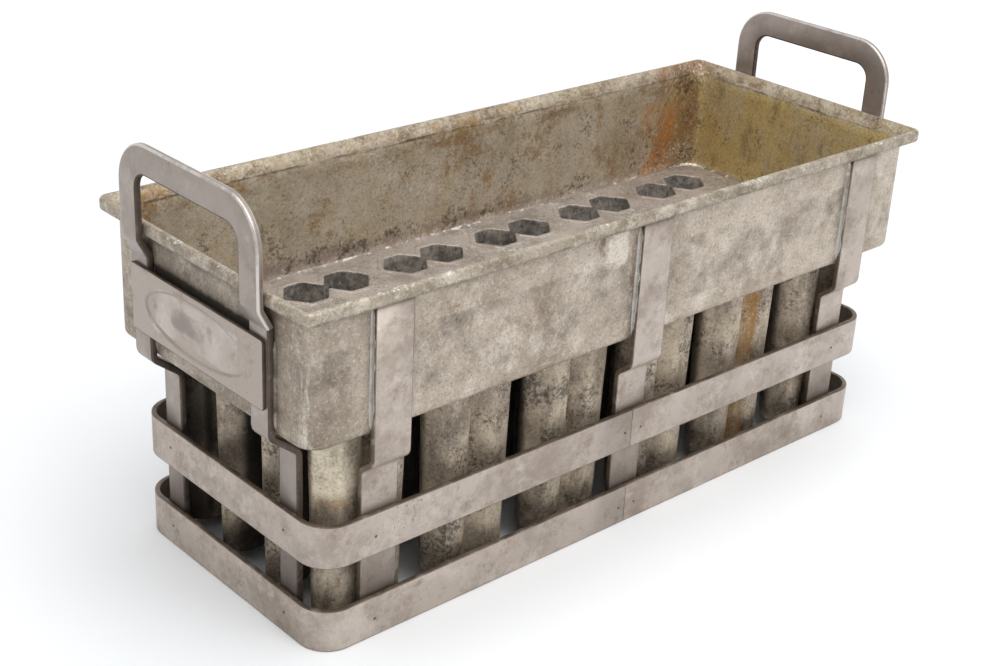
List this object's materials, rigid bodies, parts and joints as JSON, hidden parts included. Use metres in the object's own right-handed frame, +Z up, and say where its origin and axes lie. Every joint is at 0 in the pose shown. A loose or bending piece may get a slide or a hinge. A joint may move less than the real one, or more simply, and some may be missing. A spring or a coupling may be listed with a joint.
{
  "type": "ice pop mold",
  "caption": "Metal ice pop mold: a rimmed tray over rows of tapered twin-lobed pockets, in a cage of flat bands and straps, with a looped handle at each end.",
  "frame": {"origin": "on the resting plane, under the middle of the mold", "axes": "+Z up, +X along the tray from handle to handle, -Y to the side with the band seams"},
  "size_m": [0.488, 0.191, 0.2495],
  "materials": {
    "tray_metal": "aged tinned sheet with grey and olive patina",
    "solder": "bright tin solder",
    "pocket_metal": "stained drawn sheet with brown mottling",
    "cage_metal": "satin worn flat bar"
  },
  "bodies": {
    "root": {"tray_wall": "tray_metal", "pocket_plate": "tray_metal", "floor_solder_bead": "solder", "pocket_r1_c1": "pocket_metal", "pocket_r1_c2": "pocket_metal", "pocket_r1_c3": "pocket_metal", "pocket_r1_c4": "pocket_metal", "pocket_r1_c5": "pocket_metal", "pocket_r1_c6": "pocket_metal", "pocket_r2_c1": "pocket_metal", "pocket_r2_c2": "pocket_metal", "pocket_r2_c3": "pocket_metal", "pocket_r2_c4": "pocket_metal", "pocket_r2_c5": "pocket_metal", "pocket_r2_c6": "pocket_metal", "pocket_r3_c1": "pocket_metal", "pocket_r3_c2": "pocket_metal", "pocket_r3_c3": "pocket_metal", "pocket_r3_c4": "pocket_metal", "pocket_r3_c5": "pocket_metal", "pocket_r3_c6": "pocket_metal", "pocket_r4_c1": "pocket_metal", "pocket_r4_c2": "pocket_metal", "pocket_r4_c3": "pocket_metal", "pocket_r4_c4": "pocket_metal", "pocket_r4_c5": "pocket_metal", "pocket_r4_c6": "pocket_metal", "lower_band": "cage_metal", "upper_band": "cage_metal", "front_strap_left": "cage_metal", "front_strap_center": "cage_metal", "front_strap_right": "cage_metal", "back_strap_left": "cage_metal", "back_strap_center": "cage_metal", "back_strap_right": "cage_metal", "left_handle": "cage_metal", "right_handle": "cage_metal", "left_end_plate": "cage_metal", "right_end_plate": "cage_metal"}
  },
  "joints": []
}
